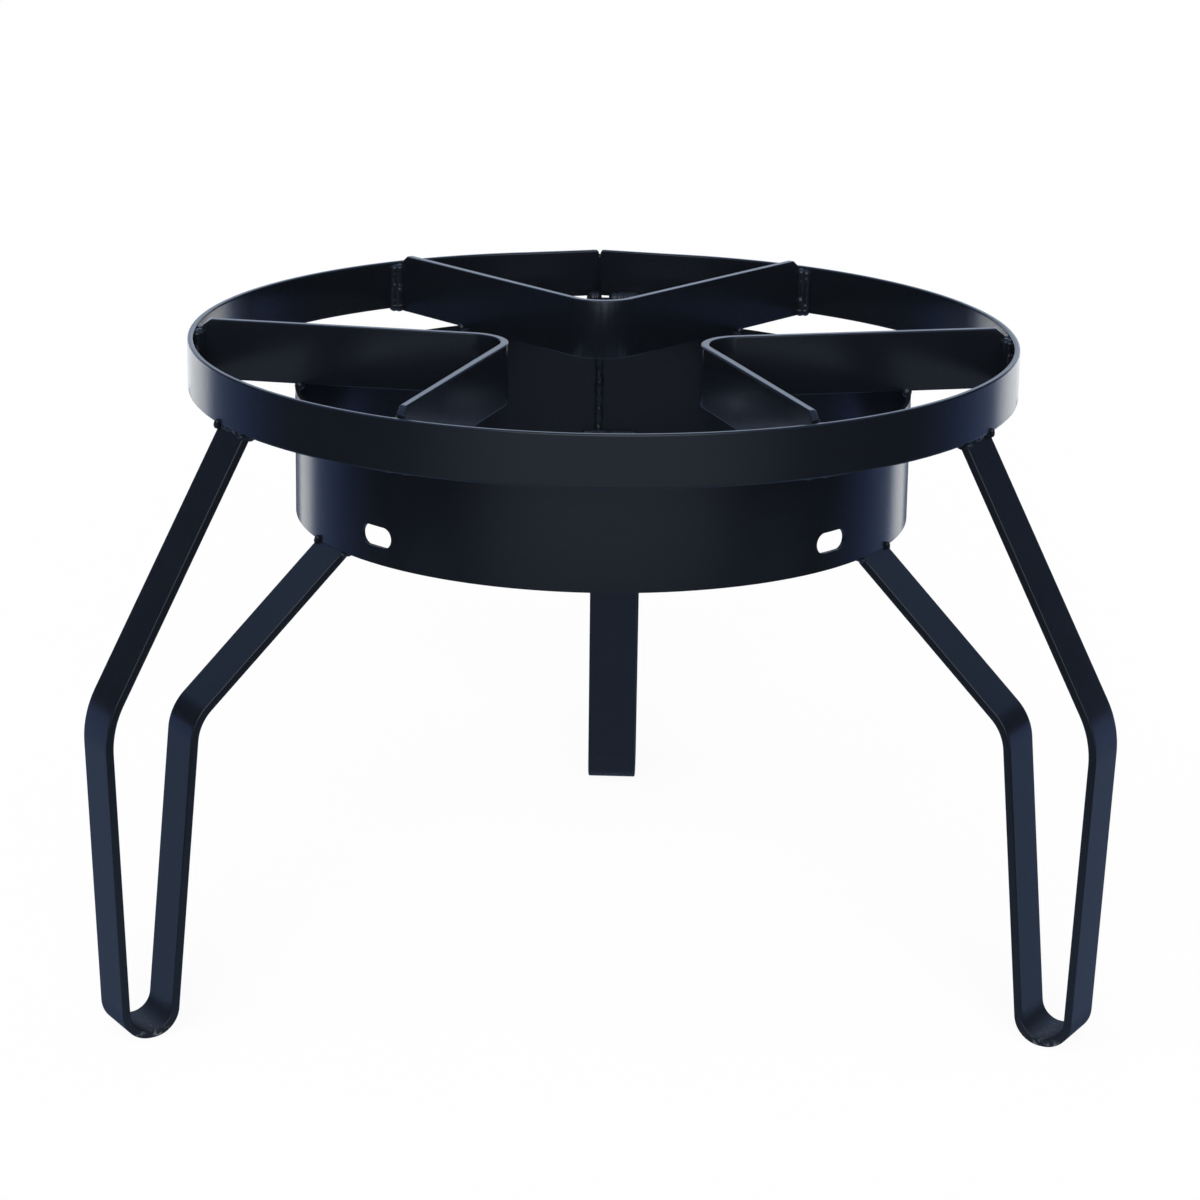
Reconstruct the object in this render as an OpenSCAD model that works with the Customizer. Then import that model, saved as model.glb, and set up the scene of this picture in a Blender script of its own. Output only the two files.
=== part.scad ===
// Burner stand: a rolled hoop, three V-shaped pot supports, a rolled wind shroud
// and three hairpin legs of flat bar, all welded together.
// Millimetres, +Z up. The origin is on the floor, under the middle of the stand.

/* [Overall] */
// Height of the stand, from the floor to the top of the pot supports
stand_h = 320; // [280:1:380]

/* [Hoop] */
// Outside diameter of the rolled hoop
hoop_od = 406; // [380:1:440]
// Height of the hoop's flat bar
hoop_bar_h = 25; // [20:0.5:28]
// Thickness of the hoop's flat bar
hoop_bar_t = 3; // [2:0.5:5]
// Angle between the seam and the middle of the flat that each end of the bar was left with
hoop_tail_angle = 14; // [8:1:22]
// How far those flats lie inside the round of the hoop
hoop_flat_in = 0.3; // [0.1:0.05:0.5]
// Gap between the two ends of the bar at the seam
seam_gap = 0.8; // [0.4:0.1:1.5]
// Width of the V notch that the seam weld leaves in the top edge
seam_notch_w = 2.4; // [2:0.2:6]
// Depth of that notch
seam_notch_d = 2.4; // [1.5:0.1:5]

/* [Pot supports] */
// Height of the supports' flat bar
support_bar_h = 30; // [24:0.5:36]
// Thickness of the supports' flat bar
support_bar_t = 4; // [2.5:0.5:6]
// Height of the supports above the hoop's top edge
support_proud = 4; // [1:0.5:6]
// Angle between a support's middle line and each of its ends at the hoop
support_half_angle = 32; // [27:0.5:33]
// Distance from the middle of the stand to the nose of a support
support_nose_r = 56.5; // [45:0.5:70]
// Inside radius of the bend at the nose
support_bend_r = 17; // [10:0.5:24]
// Length of the slope on the top corner of a support's end
support_slope_l = 4.5; // [1:0.5:8]
// Depth of that slope
support_slope_h = 3.5; // [1:0.5:5]

/* [Wind shroud] */
// Outside diameter of the rolled shroud
shroud_od = 302; // [280:1:320]
// Height of the shroud's sheet
shroud_h = 62; // [45:1:75]
// Thickness of the shroud's sheet
shroud_t = 2; // [1.5:0.25:3]
// Number of slots round the shroud
slot_count = 4; // [2:1:8]
// Direction of the first slot
slot_turn = 45; // [0:1:60]
// Length of a slot, measured round the shroud
slot_len = 20; // [14:1:30]
// Height of a slot
slot_h = 10; // [6:0.5:12]
// Sheet left between a slot and the shroud's bottom edge
slot_edge = 8.5; // [6:0.5:20]

/* [Legs] */
// Width of the legs' flat bar
leg_bar_w = 26.5; // [20:0.5:32]
// Thickness of the legs' flat bar
leg_bar_t = 4; // [3:0.5:6]
// Direction of the back leg, which stands a little to one side of the seam
leg_back_angle = 87.3; // [86:0.1:94]
// How far the outer knee stands out beyond the hoop
knee_out_reach = 69; // [55:1:85]
// Height of the outer knee
knee_out_z = 158; // [130:1:185]
// Radius of the bend at the outer knee
knee_out_bend = 47; // [20:1:60]
// How far the inner knee stands out beyond the shroud
knee_in_reach = 76.5; // [66:0.5:84]
// Height of the inner knee
knee_in_z = 154.5; // [130:0.5:175]
// Radius of the bend at the inner knee
knee_in_bend = 24; // [12:1:30]
// How far the middle of the foot stands out beyond the hoop
foot_reach = 50.5; // [44:0.5:58]
// Distance between the two strands of a leg where they reach the floor
foot_span = 24; // [24:0.5:32]
// Radius of the two bends that make the foot
foot_bend = 12; // [8:0.25:12]

/* [Welds] */
// Gap between a support's end and the hoop, filled by its weld
root_gap = 3; // [0.5:0.25:4]
// How far that weld grips the support's sides
end_grip = 2; // [1:0.25:4]
// How far those beads run out below the hoop's bottom edge
end_bead_run = 2; // [0:0.5:4]
// How far those beads stop below the hoop's top edge
end_bead_stop = 0.5; // [0:0.5:3]
// Radius of the nuggets that hold the supports on the shroud
nugget_r = 4.5; // [3.5:0.25:6]
// Radius of the beads that hold the legs under the hoop
leg_hoop_bead = 4.25; // [3:0.25:5.5]
// Radius of the beads that hold the legs under the shroud
leg_shroud_bead = 3; // [2.5:0.25:4.5]
// How far those beads wrap past each side of a leg
leg_bead_wrap = 3; // [1:0.5:5]
// How far the corner of a leg's outer end lies under the hoop
leg_hoop_bite = 1; // [0.5:0.25:1.5]
// How far the corner of a leg's inner end lies in from the shroud's outside
leg_shroud_bite = 0.5; // [0.25:0.25:1]
// Half width of the beads along the seams of the hoop and the shroud
seam_bead = 2.4; // [1.5:0.1:3]

/* [Hidden] */
coat = "#15181f";
bead_coat = "#1d2129";
$fn = 96;
over = 1;                 // how far cutters run past what they cut
bend_step = 4;            // largest angle of one flat of a bend

arm_step = 120;           // angle between the three arms of the stand
back = 90;                // direction of the arm at the seam of the hoop
left = back + arm_step;
right = back - arm_step;

// Heights, from the floor
hoop_top = stand_h - support_proud;
hoop_low = hoop_top - hoop_bar_h;
support_low = stand_h - support_bar_h;
shroud_top = support_low;
shroud_low = shroud_top - shroud_h;

// Radii
hoop_ro = hoop_od / 2;
hoop_ri = hoop_ro - hoop_bar_t;
seam_in = (hoop_ri - hoop_flat_in) / cos(hoop_tail_angle);
seam_out = (hoop_ro - hoop_flat_in) / cos(hoop_tail_angle);
shroud_ro = shroud_od / 2;
shroud_ri = shroud_ro - shroud_t;
shroud_mid = shroud_ro - shroud_t / 2;

// A support seen from above, with its middle line along +X
nose_bend = support_bend_r + support_bar_t / 2;
nose_c = support_nose_r + support_bar_t + support_bend_r;
arm_end = [hoop_ri * cos(support_half_angle), hoop_ri * sin(support_half_angle)];
arm_reach = norm(arm_end - [nose_c, 0]);
nose_turn = atan2(arm_end[1], arm_end[0] - nose_c) + acos(nose_bend / arm_reach);
arm_dir = [sin(nose_turn), -cos(nose_turn)];
arm_side = [cos(nose_turn), sin(nose_turn)];
arm_root = [nose_c, 0] + nose_bend * arm_side;
arm_lead = arm_root * arm_dir;

// The support's path, with its arms run on past the hoop's inside, where they are cut
support_apex = [nose_c - nose_bend / arm_dir[1], 0];
arm_tip = arm_end + support_bar_t * arm_dir;
support_path = [arm_tip, support_apex, [arm_tip[0], -arm_tip[1]]];
support_bends = [0, nose_bend, 0];

// Where an arm's middle line crosses the shroud's sheet
cross_at = sqrt(arm_lead * arm_lead - arm_root * arm_root + shroud_mid * shroud_mid) - arm_lead;
cross_pt = arm_root + cross_at * arm_dir;

// Where a line beside the arm's middle, at offset s, meets the inside of the hoop
function at_hoop(s) =
    let (q = arm_root + s * arm_side, k = q * arm_dir)
    q + (sqrt(k * k - q * q + hoop_ri * hoop_ri) - k) * arm_dir;

// A leg in its own plane, as [distance from the middle, height]
foot_r = hoop_ro + foot_reach;
foot_z = leg_bar_t / 2;
knee_out = [hoop_ro + knee_out_reach, knee_out_z];
knee_in = [shroud_ro + knee_in_reach, knee_in_z];
toe_out = [foot_r + foot_span / 2, foot_z];
toe_in = [foot_r - foot_span / 2, foot_z];
hoop_corner = [hoop_ri + leg_hoop_bite, hoop_low];
shroud_corner = [shroud_ro - leg_shroud_bite, shroud_low];

// End of the bar's middle line that leaves the knee and whose upper corner lies on c
function strand_end(knee, c) =
    let (d = c - knee, n = norm(d), h = leg_bar_t / 2,
         a = atan2(d[1], d[0]) + asin(h / n))
    knee + sqrt(n * n - h * h) * [cos(a), sin(a)];

leg_path = [strand_end(knee_out, hoop_corner), knee_out, toe_out,
            toe_in, knee_in, strand_end(knee_in, shroud_corner)];
leg_bends = [0, knee_out_bend, foot_bend, foot_bend, knee_in_bend, 0];

// Heading of leg i of a path, turn at its point i, and straight length lost there
function heading(p, i) = let (d = p[i + 1] - p[i]) atan2(d[1], d[0]);
function wrap(a) = a > 180 ? a - 360 : a <= -180 ? a + 360 : a;
function turn(p, i) =
    i == 0 || i == len(p) - 1 ? 0 : wrap(heading(p, i) - heading(p, i - 1));
function lost(p, b, i) = b[i] * tan(abs(turn(p, i)) / 2);

// One side of a flat bar bent along the path p with the radii b, at the offset s to the left
function left_of(a) = [-sin(a), cos(a)];
function bend_side(p, b, i, s) =
    let (a = heading(p, i - 1), k = turn(p, i), g = sign(k), n = ceil(abs(k) / bend_step),
         c = p[i] - lost(p, b, i) * [cos(a), sin(a)] + g * b[i] * left_of(a))
    [for (j = [0 : n]) c + (s - g * b[i]) * left_of(a + k * j / n)];
function bar_side(p, b, s) =
    let (e = len(p) - 1)
    concat([p[0] + s * left_of(heading(p, 0))],
           [for (i = [1 : e - 1]) for (q = bend_side(p, b, i, s)) q],
           [p[e] + s * left_of(heading(p, e - 1))]);
function reversed(l) = [for (i = [len(l) - 1 : -1 : 0]) l[i]];

// Edge view of that bar, as thick as t
module bent_bar(p, b, t) {
    polygon(concat(bar_side(p, b, t / 2), reversed(bar_side(p, b, -t / 2))));
}

// A round plate of radius r whose edge has two flats that meet in a corner at the seam
module hoop_plate(r, h) {
    flat = r - hoop_flat_in;
    ca = cos(hoop_tail_angle);
    sa = sin(hoop_tail_angle);
    cylinder(r = r, h = h, $fn = 240);
    linear_extrude(h) polygon([[0, 0], flat * [sa, ca], [0, flat / ca], flat * [-sa, ca]]);
}

module hoop_bar() {
    translate([0, 0, hoop_low]) difference() {
        hoop_plate(hoop_ro, hoop_bar_h);
        translate([0, 0, -over]) hoop_plate(hoop_ri, hoop_bar_h + 2 * over);
    }
}

// The V notch, through the hoop's bar at its seam
module seam_notch() {
    translate([0, seam_in + 2 * hoop_bar_t, hoop_top]) rotate([90, 0, 0])
        linear_extrude(4 * hoop_bar_t) polygon([
            [-seam_notch_w / 2, over], [-seam_notch_w / 2, 0], [0, -seam_notch_d],
            [seam_notch_w / 2, 0], [seam_notch_w / 2, over]]);
}

// The gap between the ends of the bar, from y outwards
module seam_slit(y) {
    translate([-seam_gap / 2, y, hoop_low - over])
        cube([seam_gap, 2 * hoop_bar_t, hoop_bar_h + 2 * over]);
}

module top_hoop() {
    color(coat) difference() {
        hoop_bar();
        seam_slit(seam_in - hoop_bar_t / 2);
        seam_notch();
    }
}

// Fills the outer half of the seam and stands a little proud of the hoop's outside
module hoop_seam_weld() {
    mid = (seam_in + seam_out) / 2;
    h = hoop_bar_h - seam_notch_d;
    color(bead_coat) difference() {
        translate([0, 0, hoop_low]) intersection() {
            translate([0, seam_out - seam_bead / 2, 0]) cylinder(r = seam_bead, h = h);
            translate([-seam_bead, mid, 0]) cube([2 * seam_bead, 2 * seam_bead, h]);
        }
        difference() {
            hoop_bar();
            seam_slit(mid);
        }
    }
}

module obround(l, h, d) {
    rotate([90, 0, 90]) {
        for (s = [-1, 1]) translate([s * (l - h) / 2, 0, 0]) cylinder(d = h, h = d);
        translate([-(l - h) / 2, -h / 2, 0]) cube([l - h, h, d]);
    }
}

module shroud_sheet() {
    translate([0, 0, shroud_low]) difference() {
        cylinder(r = shroud_ro, h = shroud_h, $fn = 240);
        translate([0, 0, -over]) cylinder(r = shroud_ri, h = shroud_h + 2 * over, $fn = 240);
    }
}

module wind_shroud() {
    color(coat) difference() {
        shroud_sheet();
        for (i = [0 : slot_count - 1])
            rotate([0, 0, slot_turn + i * 360 / slot_count])
                translate([shroud_ri - 2 * shroud_t, 0, shroud_low + slot_edge + slot_h / 2])
                obround(slot_len, slot_h, 5 * shroud_t);
    }
}

// Everything from the inner face of the shroud outwards
module beyond_shroud() {
    translate([0, 0, shroud_low - over]) difference() {
        cylinder(r = shroud_ro + 2 * seam_bead, h = shroud_h + 2 * over, $fn = 240);
        translate([0, 0, -over]) cylinder(r = shroud_ri, h = shroud_h + 4 * over, $fn = 240);
    }
}

module shroud_seam_weld() {
    color(bead_coat) difference() {
        rotate([0, 0, back]) translate([shroud_ri, 0, shroud_low])
            cylinder(r = seam_bead, h = shroud_h, $fn = 48);
        beyond_shroud();
    }
}

// Half section of the room that the supports' ends leave inside the hoop, with a slope at
// the top
module support_room() {
    r = hoop_ri - root_gap;
    slope = support_slope_l / support_slope_h;
    polygon([[0, -over], [r, -over], [r, support_bar_h - support_slope_h],
             [r - support_slope_l - over * slope, support_bar_h + over],
             [0, support_bar_h + over]]);
}

// One support, nose towards the middle, with its middle line along the direction dir
module support_bar(dir) {
    rotate([0, 0, dir]) translate([0, 0, support_low]) intersection() {
        linear_extrude(support_bar_h) bent_bar(support_path, support_bends, support_bar_t);
        rotate_extrude($fn = 240) support_room();
    }
}

// The bead round one end of a support: two fillets, joined through the root gap and
// curled under the bottom edge of the hoop
module support_weld(dir, side) {
    h = hoop_bar_h + end_bead_run - end_bead_stop;
    color(bead_coat) difference() {
        rotate([0, 0, dir]) mirror([0, side, 0])
            translate([0, 0, hoop_low - end_bead_run]) intersection() {
                for (s = [-1, 1]) {
                    q = at_hoop(s * support_bar_t / 2);
                    translate([q[0], q[1], 0])
                        cylinder(r = root_gap + end_grip, h = h, $fn = 48);
                }
                translate([0, 0, -over])
                    cylinder(r = hoop_ri + hoop_bar_t / 2, h = h + 2 * over, $fn = 240);
            }
        support_bar(dir);
        hoop_bar();
    }
}

// The nugget where one arm of a support crosses the top edge of the shroud
module shroud_weld(dir, side) {
    color(bead_coat) difference() {
        rotate([0, 0, dir]) mirror([0, side, 0])
            translate([cross_pt[0], cross_pt[1], shroud_top]) sphere(r = nugget_r, $fn = 48);
        support_bar(dir);
        shroud_sheet();
    }
}

module leg_bar(dir) {
    rotate([90, 0, dir]) linear_extrude(leg_bar_w, center = true)
        bent_bar(leg_path, leg_bends, leg_bar_t);
}

// The bead of radius r at a leg's end, laid across the leg at the point c of its plane
module leg_bead(dir, c, r) {
    l = leg_bar_w + 2 * leg_bead_wrap;
    rotate([90, 0, dir]) translate([c[0], c[1], -l / 2]) cylinder(r = r, h = l, $fn = 48);
}

module leg_hoop_weld(dir) {
    color(bead_coat) difference() {
        leg_bead(dir, [hoop_ri - leg_hoop_bead / 2, hoop_low], leg_hoop_bead);
        leg_bar(dir);
        hoop_bar();
    }
}

module leg_shroud_weld(dir) {
    color(bead_coat) difference() {
        leg_bead(dir, [shroud_mid, shroud_low], leg_shroud_bead);
        leg_bar(dir);
        shroud_sheet();
        shroud_seam_weld();
    }
}

top_hoop();
wind_shroud();
color(coat) support_bar(back);  // pot_support_back
color(coat) support_bar(left);  // pot_support_left
color(coat) support_bar(right);  // pot_support_right
color(coat) leg_bar(leg_back_angle);  // leg_back
color(coat) leg_bar(left);  // leg_left
color(coat) leg_bar(right);  // leg_right
hoop_seam_weld();
shroud_seam_weld();
support_weld(back, 0);  // support_weld_back_a
support_weld(back, 1);  // support_weld_back_b
support_weld(left, 0);  // support_weld_left_a
support_weld(left, 1);  // support_weld_left_b
support_weld(right, 0);  // support_weld_right_a
support_weld(right, 1);  // support_weld_right_b
shroud_weld(back, 0);  // shroud_weld_back_a
shroud_weld(back, 1);  // shroud_weld_back_b
shroud_weld(left, 0);  // shroud_weld_left_a
shroud_weld(left, 1);  // shroud_weld_left_b
shroud_weld(right, 0);  // shroud_weld_right_a
shroud_weld(right, 1);  // shroud_weld_right_b
leg_hoop_weld(leg_back_angle);  // leg_hoop_weld_back
leg_hoop_weld(left);  // leg_hoop_weld_left
leg_hoop_weld(right);  // leg_hoop_weld_right
leg_shroud_weld(leg_back_angle);  // leg_shroud_weld_back
leg_shroud_weld(left);  // leg_shroud_weld_left
leg_shroud_weld(right);  // leg_shroud_weld_right
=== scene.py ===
"""Dresses a packed burner stand: rolled and bent flat bar under a satin black powder coat,
with rippled weld beads, on a pale studio floor."""

import math
from functools import partial

import bmesh
import bpy
from bpy.props import FloatProperty, FloatVectorProperty, PointerProperty
from mathutils import Matrix, Vector


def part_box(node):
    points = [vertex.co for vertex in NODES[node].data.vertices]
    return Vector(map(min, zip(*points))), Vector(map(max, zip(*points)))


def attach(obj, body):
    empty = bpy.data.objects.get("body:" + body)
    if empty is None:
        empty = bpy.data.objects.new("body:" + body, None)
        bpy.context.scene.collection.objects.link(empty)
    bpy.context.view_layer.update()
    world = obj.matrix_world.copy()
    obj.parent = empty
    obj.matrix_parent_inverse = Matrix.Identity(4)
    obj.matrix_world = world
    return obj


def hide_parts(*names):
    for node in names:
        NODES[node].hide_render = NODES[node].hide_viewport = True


bl_info = {
    "name": "Burner Stand",
    "version": (1, 0, 0),
    "blender": (4, 5, 0),
    "location": "View3D > Sidebar > Burner Stand",
    "description": "Builds the bars, sheet and weld beads of a burner stand, and a studio for it",
    "category": "Object",
}

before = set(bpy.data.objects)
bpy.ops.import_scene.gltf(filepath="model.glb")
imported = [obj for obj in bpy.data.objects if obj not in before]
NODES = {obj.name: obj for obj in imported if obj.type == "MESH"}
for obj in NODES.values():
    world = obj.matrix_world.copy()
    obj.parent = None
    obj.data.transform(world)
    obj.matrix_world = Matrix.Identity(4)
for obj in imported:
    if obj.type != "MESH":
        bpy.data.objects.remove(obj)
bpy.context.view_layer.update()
HOOP_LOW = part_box("top_hoop")[0]
SHROUD_LOW, SHROUD_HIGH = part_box("wind_shroud")
HOOP_RADIUS, HOOP_BOTTOM = -HOOP_LOW[1], HOOP_LOW[2]
SHROUD_RADIUS, SHROUD_BOTTOM, SHROUD_TOP = -SHROUD_LOW[1], SHROUD_LOW[2], SHROUD_HIGH[2]

BODY = "root"
# Where the three supports and the three legs stand, in degrees from +X
ARMS = {"back": 90.0, "left": 210.0, "right": 330.0}
# The two ends of a support, of which the second mirrors the first
ENDS = ((False, "a"), (True, "b"))
# A face above this area, in square metres, is flat, and a point this close to a round
# wall, in metres, lies on it
LARGE_FACE = 0.0002
ON_WALL = 0.00004


# Colours, nodes and meshes

def hex_linear(code, alpha=1.0):
    """Turns an sRGB hex colour into linear red, green, blue and alpha."""
    parts = [int(code[i:i + 2], 16) / 255 for i in (1, 3, 5)]
    return [p / 12.92 if p <= 0.04045 else ((p + 0.055) / 1.055) ** 2.4 for p in parts] + [alpha]


def add_node(tree, kind, inputs=(), **settings):
    """Adds a node with its settings. Its inputs are given by name or in order, each as a
    value, a socket, or a node whose first output is meant."""
    made = tree.nodes.new(kind)
    for key, value in settings.items():
        setattr(made, key, value)
    for key, value in inputs.items() if isinstance(inputs, dict) else enumerate(inputs):
        if isinstance(value, bpy.types.Node):
            value = next(socket for socket in value.outputs if socket.enabled)
        if isinstance(value, bpy.types.NodeSocket):
            tree.links.new(value, made.inputs[key])
        else:
            made.inputs[key].default_value = value
    return made


def blank_material(name):
    """Makes a material with an empty node tree, and a function that adds nodes to it."""
    made = bpy.data.materials.new(name)
    made.use_nodes = True
    made.node_tree.nodes.clear()
    return made, partial(add_node, made.node_tree)


def new_mesh_object(name, mesh):
    """Puts a mesh in the scene at the origin, unturned and unscaled."""
    made = bpy.data.objects.new(name, mesh)
    bpy.context.scene.collection.objects.link(made)
    return made


def bake_modifiers(piece):
    """Turns what the modifiers make into the piece's own plain mesh, and removes them."""
    bpy.context.view_layer.update()
    seen = piece.evaluated_get(bpy.context.evaluated_depsgraph_get())
    mesh = bpy.data.meshes.new_from_object(seen)
    piece.modifiers.clear()
    piece.data = mesh
    mesh.name = piece.name


def hand_over(piece, nodes):
    """Hangs a finished piece on its body, and hides the nodes that it stands in for."""
    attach(piece, BODY)
    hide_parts(*nodes)


def turned(point, angle, mirrored=False):
    """Turns a point about the middle of the stand, after mirroring it about X if asked."""
    x, y, z = point
    return Matrix.Rotation(math.radians(angle), 3, "Z") @ Vector((x, -y if mirrored else y, z))


# Materials

def powder_coat(name, colour, roughness, peel, lump, chips):
    """Satin black powder coat, sprayed dry and baked: a near-black body with a cold blue
    tint under a smooth skin. The eye sees faint orange peel, rolling marks of the bar
    beneath it, a few pale specks of dust and chips, and feet that the ground dulled, with pale
    patches low on them that are partly worn coat and partly a painted reflection of the floor."""
    coat, add = blank_material(name)
    place = add("ShaderNodeTexCoord").outputs["Object"]
    # Clouds 40 mm across, where the coat lies a little thicker
    cloud = add("ShaderNodeTexNoise", {"Vector": place, "Scale": 25.0, "Detail": 3.0})
    darker = [c * 0.78 for c in colour]
    tone = add("ShaderNodeMix", {
        "Factor": cloud, "A": (*darker, 1.0), "B": (*colour, 1.0)}, data_type="RGBA")
    satin = add("ShaderNodeMapRange", {
        "Value": cloud, "From Min": 0.3, "From Max": 0.7, "To Min": roughness - 0.02,
        "To Max": roughness + 0.02})
    # Orange peel, drawn 1.3 mm across so that it shows
    skin = add("ShaderNodeTexNoise", {"Vector": place, "Scale": 770.0, "Detail": 1.0})
    # The unevenness of rolled steel, 14 mm across
    roll = add("ShaderNodeTexNoise", {"Vector": place, "Scale": 70.0, "Detail": 2.0})
    waves = add("ShaderNodeBump", {"Height": roll, "Distance": lump})
    grain = add("ShaderNodeBump", {"Height": skin, "Distance": peel, "Normal": waves})
    # Specks half a millimetre across, on a few of the cells that lie 9 mm apart
    cells = add("ShaderNodeTexVoronoi", {"Vector": place, "Scale": 110.0})
    speck = add("ShaderNodeMapRange", {
        "Value": cells, "From Min": 0.02, "From Max": 0.045, "To Min": 1.0, "To Max": 0.0})
    rare = add("ShaderNodeMapRange", {
        "Value": cells.outputs["Color"], "From Min": 1.0 - chips, "From Max": 1.0 - chips + 0.01,
        "To Max": 0.55})
    speckle = add("ShaderNodeMath", [speck, rare], operation="MULTIPLY")
    # The ground rubs the lowest 5 mm of the feet pale, in patches 2.4 mm across. These patches
    # are partly worn coat and partly a painted reflection of the white floor.
    height = add("ShaderNodeSeparateXYZ", [place]).outputs["Z"]
    patch_noise = add("ShaderNodeTexNoise", {"Vector": place, "Scale": 420.0, "Detail": 3.0})
    scuff_and_glint_patches = add("ShaderNodeMapRange", {
        "Value": patch_noise, "From Min": 0.52, "From Max": 0.64, "To Max": 0.5})
    ground = add("ShaderNodeMapRange", {
        "Value": height, "From Min": 0.001, "From Max": 0.005, "To Min": 1.0, "To Max": 0.0})
    rubbed_and_floor_glint = add("ShaderNodeMath", [ground, scuff_and_glint_patches], operation="MULTIPLY")
    marks = add("ShaderNodeMath", [speckle, rubbed_and_floor_glint], operation="MAXIMUM")
    # Pale specks of dust and chips, and pale patches at the soles that are partly wear and partly
    # painted reflection of the floor
    worn = add("ShaderNodeMix", {
        "Factor": marks, "A": tone, "B": hex_linear("#8c939c")}, data_type="RGBA")
    # It rubs the lowest 18 mm dull as well
    dulled = add("ShaderNodeMapRange", {
        "Value": height, "From Min": 0.008, "From Max": 0.018, "To Min": 0.28, "To Max": 0.0},
        interpolation_type="SMOOTHSTEP")
    gloss = add("ShaderNodeMath", [satin, dulled], operation="ADD")
    shader = add("ShaderNodeBsdfPrincipled", {
        "Base Color": worn, "Roughness": gloss, "IOR": 1.5, "Normal": grain})
    add("ShaderNodeOutputMaterial", {"Surface": shader})
    return coat


def bar_coat():
    """The coat on bar and sheet."""
    coat = bpy.context.scene.stand_coat
    name = "satin_black_powder_coat"
    return bpy.data.materials.get(name) or powder_coat(
        name, list(coat.colour), coat.roughness, coat.peel, coat.rolling, 0.06)


def bead_coat():
    """The coat on weld beads, which lies thinner and glossier over the ripples."""
    coat = bpy.context.scene.stand_coat
    name = "powder_coat_over_weld"
    return bpy.data.materials.get(name) or powder_coat(
        name, list(coat.weld_colour), coat.roughness - 0.06, coat.peel, 3 * coat.rolling, 0.02)


# Bars and sheet

def merged_copy(name, node):
    """Copies a node's solid as a clean mesh with flat faces joined."""
    shape = bmesh.new()
    shape.from_mesh(NODES[node].data)
    bmesh.ops.remove_doubles(shape, verts=shape.verts, dist=2e-6)
    bmesh.ops.dissolve_limit(shape, angle_limit=math.radians(0.2), verts=shape.verts,
                             edges=shape.edges)
    mesh = bpy.data.meshes.new(name)
    shape.to_mesh(mesh)
    shape.free()
    return new_mesh_object(name, mesh)


def true_shading(piece, radii):
    """Makes large flat faces shade as flat, and the rolled walls of a round piece as true
    cylinders of the given radii."""
    mesh = piece.data
    normals = [tuple(corner.vector) for corner in mesh.corner_normals]
    for face in mesh.polygons:
        flat = Vector((face.normal.x, face.normal.y))
        for corner in face.loop_indices:
            if face.area > LARGE_FACE:
                normals[corner] = tuple(face.normal)
            spot = mesh.vertices[mesh.loops[corner].vertex_index].co
            out = Vector((spot.x, spot.y))
            lean = flat.dot(out.normalized())
            if abs(lean) > 0.99 and any(abs(out.length - r) < ON_WALL for r in radii):
                out = out.normalized() * math.copysign(1.0, lean)
                normals[corner] = (out.x, out.y, 0.0)
    mesh.normals_split_custom_set(normals)


def rolled_edge_copy(name, node, edge, radii=()):
    """Copies a node and gives its sharp corners the small radius of rolled stock."""
    piece = merged_copy(name, node)
    piece.data.materials.clear()
    piece.data.materials.append(bar_coat())
    piece.data.shade_smooth()
    corner = piece.modifiers.new("Rolled corners", "BEVEL")
    corner.limit_method = "ANGLE"
    corner.angle_limit = math.radians(40)
    corner.width = edge
    corner.segments = 3
    corner.harden_normals = True
    corner.use_clamp_overlap = True
    bake_modifiers(piece)
    true_shading(piece, radii)
    hand_over(piece, [node])


def new_tree(name, sockets):
    """Makes a node tree with named inputs and one output, and a function that adds nodes."""
    tree = bpy.data.node_groups.new(name, "GeometryNodeTree")
    for key, kind, default in sockets:
        made = tree.interface.new_socket(key, in_out="INPUT", socket_type="NodeSocket" + kind)
        if default is not None:
            made.default_value = default
    tree.interface.new_socket("Geometry", in_out="OUTPUT", socket_type="NodeSocketGeometry")
    return tree, partial(add_node, tree)


def run_tree(piece, tree, values):
    """Runs a node tree on a piece with its inputs set, and keeps the result as its mesh."""
    modifier = piece.modifiers.new(tree.name, "NODES")
    modifier.node_group = tree
    for item in tree.interface.items_tree:
        if item.in_out == "INPUT" and item.name in values:
            modifier[item.identifier] = values[item.name]
    bake_modifiers(piece)


def path_object(name, strands, attributes):
    """Makes an object of open strands of points, with values on the points."""
    points, edges = [], []
    for strand in strands:
        edges += [(len(points) + i, len(points) + i + 1) for i in range(len(strand) - 1)]
        points += [tuple(p) for p in strand]
    mesh = bpy.data.meshes.new(name)
    mesh.from_pydata(points, edges, [])
    for key, (kind, values) in attributes.items():
        layer = mesh.attributes.new(key, kind, "POINT")
        field = "vector" if kind == "FLOAT_VECTOR" else "value"
        for spot, value in zip(layer.data, values):
            setattr(spot, field, value)
    return new_mesh_object(name, mesh)


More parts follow.
